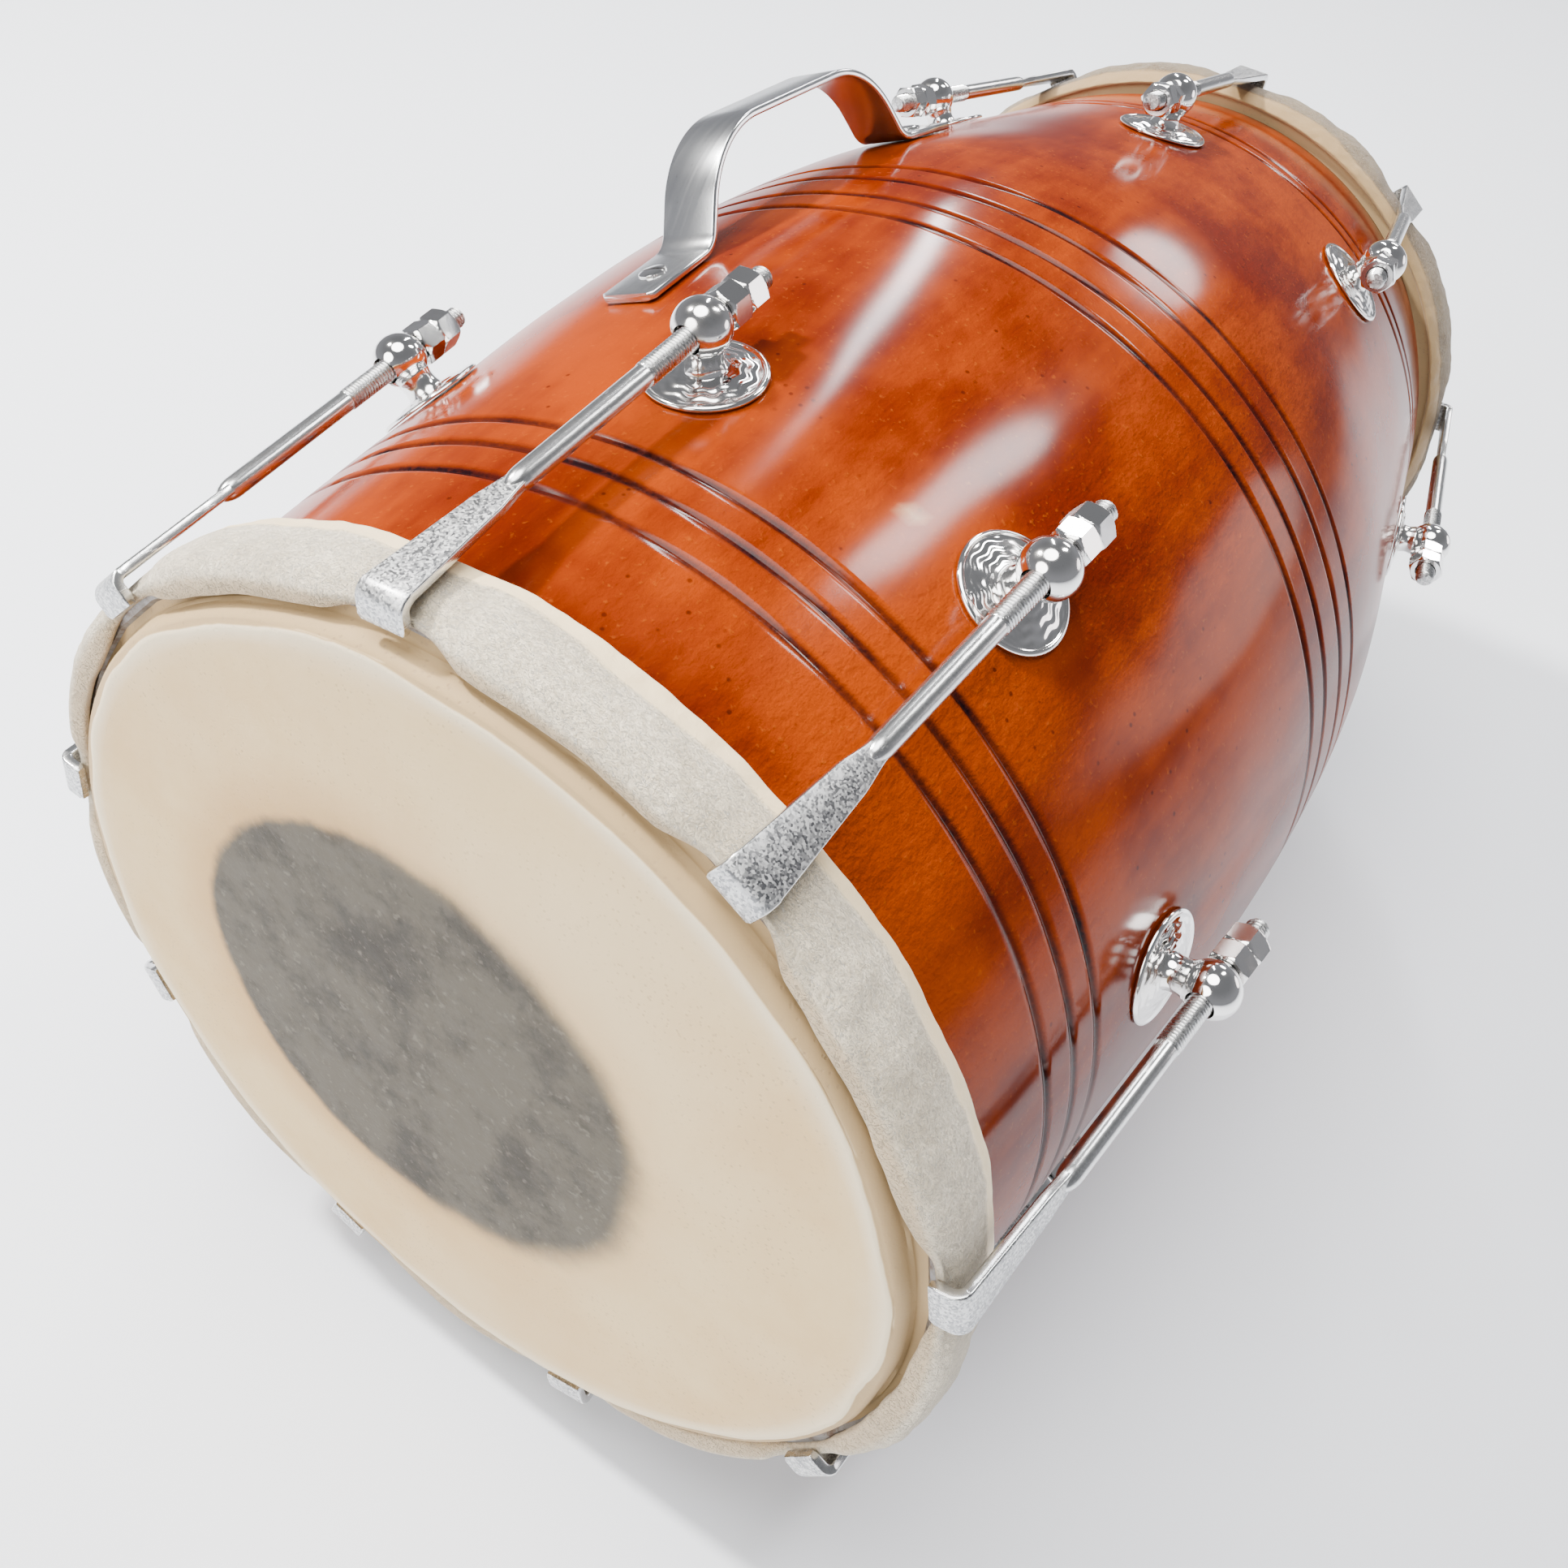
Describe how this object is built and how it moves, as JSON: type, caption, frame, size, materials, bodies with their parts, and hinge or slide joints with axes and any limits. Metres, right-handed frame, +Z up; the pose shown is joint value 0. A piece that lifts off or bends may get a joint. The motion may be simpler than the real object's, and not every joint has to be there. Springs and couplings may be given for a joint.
{
  "type": "two-headed barrel drum",
  "caption": "Barrel hand drum (dholak) with two goat-skin heads held by steel hooks, hook-and-nut tuning hardware at both ends and a bent steel strap handle.",
  "frame": {"origin": "on the floor, under the middle of the drum's box as it lies on its lugs", "axes": "+Y along the barrel from the bass head to the treble head (tipped 1.1 degrees, as it lies), +Z up, handle near the top"},
  "size_m": [0.3036, 0.4688, 0.3024],
  "materials": {
    "lacquered_wood": "gloss orange-brown lacquer",
    "goat_skin": "raw goat skin, smooth grain side on the heads, napped flesh side on the collars",
    "chrome": "polished chrome plate",
    "plated_steel": "zinc and chrome plated mild steel",
    "hoop_steel": "plain steel ring"
  },
  "bodies": {
    "root": {"shell": "lacquered_wood", "handle": "plated_steel", "bass_skin": "goat_skin", "bass_hoop": "hoop_steel", "treble_skin": "goat_skin", "treble_hoop": "hoop_steel", "bass_lug_1": "chrome", "bass_lug_2": "chrome", "bass_lug_3": "chrome", "bass_lug_4": "chrome", "bass_lug_5": "chrome", "bass_lug_6": "chrome", "bass_lug_7": "chrome", "bass_lug_8": "chrome", "bass_lug_9": "chrome", "treble_lug_1": "chrome", "treble_lug_2": "chrome", "treble_lug_3": "chrome", "treble_lug_4": "chrome", "treble_lug_5": "chrome", "treble_lug_6": "chrome", "treble_lug_7": "chrome", "treble_lug_8": "chrome", "treble_lug_9": "chrome"},
    "bass_hook_1": {"bass_hook_1": "plated_steel"},
    "bass_nut_1": {"bass_nut_1": "chrome"},
    "bass_hook_2": {"bass_hook_2": "plated_steel"},
    "bass_nut_2": {"bass_nut_2": "chrome"},
    "bass_hook_3": {"bass_hook_3": "plated_steel"},
    "bass_nut_3": {"bass_nut_3": "chrome"},
    "bass_hook_4": {"bass_hook_4": "plated_steel"},
    "bass_nut_4": {"bass_nut_4": "chrome"},
    "bass_hook_5": {"bass_hook_5": "plated_steel"},
    "bass_nut_5": {"bass_nut_5": "chrome"},
    "bass_hook_6": {"bass_hook_6": "plated_steel"},
    "bass_nut_6": {"bass_nut_6": "chrome"},
    "bass_hook_7": {"bass_hook_7": "plated_steel"},
    "bass_nut_7": {"bass_nut_7": "chrome"},
    "bass_hook_8": {"bass_hook_8": "plated_steel"},
    "bass_nut_8": {"bass_nut_8": "chrome"},
    "bass_hook_9": {"bass_hook_9": "plated_steel"},
    "bass_nut_9": {"bass_nut_9": "chrome"},
    "treble_hook_1": {"treble_hook_1": "plated_steel"},
    "treble_nut_1": {"treble_nut_1": "chrome"},
    "treble_hook_2": {"treble_hook_2": "plated_steel"},
    "treble_nut_2": {"treble_nut_2": "chrome"},
    "treble_hook_3": {"treble_hook_3": "plated_steel"},
    "treble_nut_3": {"treble_nut_3": "chrome"},
    "treble_hook_4": {"treble_hook_4": "plated_steel"},
    "treble_nut_4": {"treble_nut_4": "chrome"},
    "treble_hook_5": {"treble_hook_5": "plated_steel"},
    "treble_nut_5": {"treble_nut_5": "chrome"},
    "treble_hook_6": {"treble_hook_6": "plated_steel"},
    "treble_nut_6": {"treble_nut_6": "chrome"},
    "treble_hook_7": {"treble_hook_7": "plated_steel"},
    "treble_nut_7": {"treble_nut_7": "chrome"},
    "treble_hook_8": {"treble_hook_8": "plated_steel"},
    "treble_nut_8": {"treble_nut_8": "chrome"},
    "treble_hook_9": {"treble_hook_9": "plated_steel"},
    "treble_nut_9": {"treble_nut_9": "chrome"}
  },
  "joints": [
    {"name": "bass_nut_1_turn", "type": "hinge", "parent": "root", "child": "bass_nut_1", "pos_m": [-0.10711, -0.12549, 0.24362], "axis": [-0.1005, 0.9925, 0.0696], "range_deg": [0, 1805]},
    {"name": "bass_hook_1_slide", "type": "slide", "parent": "root", "child": "bass_hook_1", "axis": [0.1005, -0.9925, -0.0696], "range_m": [0, 0.005]},
    {"name": "bass_nut_2_turn", "type": "hinge", "parent": "root", "child": "bass_nut_2", "pos_m": [-0.01555, -0.12455, 0.29178], "axis": [-0.0164, 0.9934, 0.1139], "range_deg": [0, 1805]},
    {"name": "bass_hook_2_slide", "type": "slide", "parent": "root", "child": "bass_hook_2", "axis": [0.0164, -0.9934, -0.1139], "range_m": [0, 0.005]},
    {"name": "bass_nut_3_turn", "type": "hinge", "parent": "root", "child": "bass_nut_3", "pos_m": [0.07634, -0.12493, 0.27267], "axis": [0.0681, 0.993, 0.0963], "range_deg": [0, 1805]},
    {"name": "bass_hook_3_slide", "type": "slide", "parent": "root", "child": "bass_hook_3", "axis": [-0.0681, -0.993, -0.0963], "range_m": [0, 0.005]},
    {"name": "bass_nut_4_turn", "type": "hinge", "parent": "root", "child": "bass_nut_4", "pos_m": [0.14359, -0.12666, 0.18345], "axis": [0.1299, 0.9914, 0.0143], "range_deg": [0, 1805]},
    {"name": "bass_hook_4_slide", "type": "slide", "parent": "root", "child": "bass_hook_4", "axis": [-0.1299, -0.9914, -0.0143], "range_m": [0, 0.005]},
    {"name": "bass_nut_5_turn", "type": "hinge", "parent": "root", "child": "bass_nut_5", "pos_m": [0.12738, -0.12884, 0.07172], "axis": [0.115, 0.9894, -0.0884], "range_deg": [0, 1805]},
    {"name": "bass_hook_5_slide", "type": "slide", "parent": "root", "child": "bass_hook_5", "axis": [-0.115, -0.9894, 0.0884], "range_m": [0, 0.005]},
    {"name": "bass_nut_6_turn", "type": "hinge", "parent": "root", "child": "bass_nut_6", "pos_m": [0.04856, -0.13007, 0.00847], "axis": [0.0426, 0.9883, -0.1465], "range_deg": [0, 1805]},
    {"name": "bass_hook_6_slide", "type": "slide", "parent": "root", "child": "bass_hook_6", "axis": [-0.0426, -0.9883, 0.1465], "range_m": [0, 0.005]},
    {"name": "bass_nut_7_turn", "type": "hinge", "parent": "root", "child": "bass_nut_7", "pos_m": [-0.04409, -0.13007, 0.00847], "axis": [-0.0426, 0.9883, -0.1465], "range_deg": [0, 1805]},
    {"name": "bass_hook_7_slide", "type": "slide", "parent": "root", "child": "bass_hook_7", "axis": [0.0426, -0.9883, 0.1465], "range_m": [0, 0.005]},
    {"name": "bass_nut_8_turn", "type": "hinge", "parent": "root", "child": "bass_nut_8", "pos_m": [-0.12291, -0.12884, 0.07172], "axis": [-0.115, 0.9894, -0.0884], "range_deg": [0, 1805]},
    {"name": "bass_hook_8_slide", "type": "slide", "parent": "root", "child": "bass_hook_8", "axis": [0.115, -0.9894, 0.0884], "range_m": [0, 0.005]},
    {"name": "bass_nut_9_turn", "type": "hinge", "parent": "root", "child": "bass_nut_9", "pos_m": [-0.14356, -0.12723, 0.15454], "axis": [-0.134, 0.9909, -0.0122], "range_deg": [0, 1805]},
    {"name": "bass_hook_9_slide", "type": "slide", "parent": "root", "child": "bass_hook_9", "axis": [0.134, -0.9909, 0.0122], "range_m": [0, 0.005]},
    {"name": "treble_nut_1_turn", "type": "hinge", "parent": "root", "child": "treble_nut_1", "pos_m": [-0.08347, 0.12825, 0.25365], "axis": [-0.0958, -0.9849, 0.144], "range_deg": [0, 1805]},
    {"name": "treble_hook_1_slide", "type": "slide", "parent": "root", "child": "treble_hook_1", "axis": [0.0958, 0.9849, -0.144], "range_m": [0, 0.005]},
    {"name": "treble_nut_2_turn", "type": "hinge", "parent": "root", "child": "treble_nut_2", "pos_m": [0.00347, 0.12882, 0.28274], "axis": [0.0014, -0.9843, 0.1765], "range_deg": [0, 1805]},
    {"name": "treble_hook_2_slide", "type": "slide", "parent": "root", "child": "treble_hook_2", "axis": [-0.0014, 0.9843, -0.1765], "range_m": [0, 0.005]},
    {"name": "treble_nut_3_turn", "type": "hinge", "parent": "root", "child": "treble_nut_3", "pos_m": [0.08795, 0.12825, 0.25365], "axis": [0.0958, -0.9849, 0.144], "range_deg": [0, 1805]},
    {"name": "treble_hook_3_slide", "type": "slide", "parent": "root", "child": "treble_hook_3", "axis": [-0.0958, 0.9849, -0.144], "range_m": [0, 0.005]},
    {"name": "treble_nut_4_turn", "type": "hinge", "parent": "root", "child": "treble_nut_4", "pos_m": [0.1413, 0.12651, 0.16399], "axis": [0.1554, -0.9869, 0.0438], "range_deg": [0, 1805]},
    {"name": "treble_hook_4_slide", "type": "slide", "parent": "root", "child": "treble_hook_4", "axis": [-0.1554, 0.9869, -0.0438], "range_m": [0, 0.005]},
    {"name": "treble_nut_5_turn", "type": "hinge", "parent": "root", "child": "treble_nut_5", "pos_m": [0.12229, 0.12465, 0.06842], "axis": [0.1342, -0.989, -0.063], "range_deg": [0, 1805]},
    {"name": "treble_hook_5_slide", "type": "slide", "parent": "root", "child": "treble_hook_5", "axis": [-0.1342, 0.989, 0.063], "range_m": [0, 0.005]},
    {"name": "treble_nut_6_turn", "type": "hinge", "parent": "root", "child": "treble_nut_6", "pos_m": [0.04691, 0.12348, 0.00847], "axis": [0.0499, -0.9903, -0.13], "range_deg": [0, 1805]},
    {"name": "treble_hook_6_slide", "type": "slide", "parent": "root", "child": "treble_hook_6", "axis": [-0.0499, 0.9903, 0.13], "range_m": [0, 0.005]},
    {"name": "treble_nut_7_turn", "type": "hinge", "parent": "root", "child": "treble_nut_7", "pos_m": [-0.04244, 0.12348, 0.00847], "axis": [-0.0499, -0.9903, -0.13], "range_deg": [0, 1805]},
    {"name": "treble_hook_7_slide", "type": "slide", "parent": "root", "child": "treble_hook_7", "axis": [0.0499, 0.9903, 0.13], "range_m": [0, 0.005]},
    {"name": "treble_nut_8_turn", "type": "hinge", "parent": "root", "child": "treble_nut_8", "pos_m": [-0.1215, 0.12477, 0.0748], "axis": [-0.1383, -0.9888, -0.0559], "range_deg": [0, 1805]},
    {"name": "treble_hook_8_slide", "type": "slide", "parent": "root", "child": "treble_hook_8", "axis": [0.1383, 0.9888, 0.0559], "range_m": [0, 0.005]},
    {"name": "treble_nut_9_turn", "type": "hinge", "parent": "root", "child": "treble_nut_9", "pos_m": [-0.13548, 0.12665, 0.17124], "axis": [-0.1539, -0.9867, 0.0519], "range_deg": [0, 1805]},
    {"name": "treble_hook_9_slide", "type": "slide", "parent": "root", "child": "treble_hook_9", "axis": [0.1539, 0.9867, -0.0519], "range_m": [0, 0.005]}
  ],
  "couplings": [
    {"joint": "bass_nut_1_turn", "follows": "bass_hook_1_slide", "rad_per_m": 6283.2},
    {"joint": "bass_nut_2_turn", "follows": "bass_hook_2_slide", "rad_per_m": 6283.2},
    {"joint": "bass_nut_3_turn", "follows": "bass_hook_3_slide", "rad_per_m": 6283.2},
    {"joint": "bass_nut_4_turn", "follows": "bass_hook_4_slide", "rad_per_m": 6283.2},
    {"joint": "bass_nut_5_turn", "follows": "bass_hook_5_slide", "rad_per_m": 6283.2},
    {"joint": "bass_nut_6_turn", "follows": "bass_hook_6_slide", "rad_per_m": 6283.2},
    {"joint": "bass_nut_7_turn", "follows": "bass_hook_7_slide", "rad_per_m": 6283.2},
    {"joint": "bass_nut_8_turn", "follows": "bass_hook_8_slide", "rad_per_m": 6283.2},
    {"joint": "bass_nut_9_turn", "follows": "bass_hook_9_slide", "rad_per_m": 6283.2},
    {"joint": "treble_nut_1_turn", "follows": "treble_hook_1_slide", "rad_per_m": 6283.2},
    {"joint": "treble_nut_2_turn", "follows": "treble_hook_2_slide", "rad_per_m": 6283.2},
    {"joint": "treble_nut_3_turn", "follows": "treble_hook_3_slide", "rad_per_m": 6283.2},
    {"joint": "treble_nut_4_turn", "follows": "treble_hook_4_slide", "rad_per_m": 6283.2},
    {"joint": "treble_nut_5_turn", "follows": "treble_hook_5_slide", "rad_per_m": 6283.2},
    {"joint": "treble_nut_6_turn", "follows": "treble_hook_6_slide", "rad_per_m": 6283.2},
    {"joint": "treble_nut_7_turn", "follows": "treble_hook_7_slide", "rad_per_m": 6283.2},
    {"joint": "treble_nut_8_turn", "follows": "treble_hook_8_slide", "rad_per_m": 6283.2},
    {"joint": "treble_nut_9_turn", "follows": "treble_hook_9_slide", "rad_per_m": 6283.2}
  ]
}
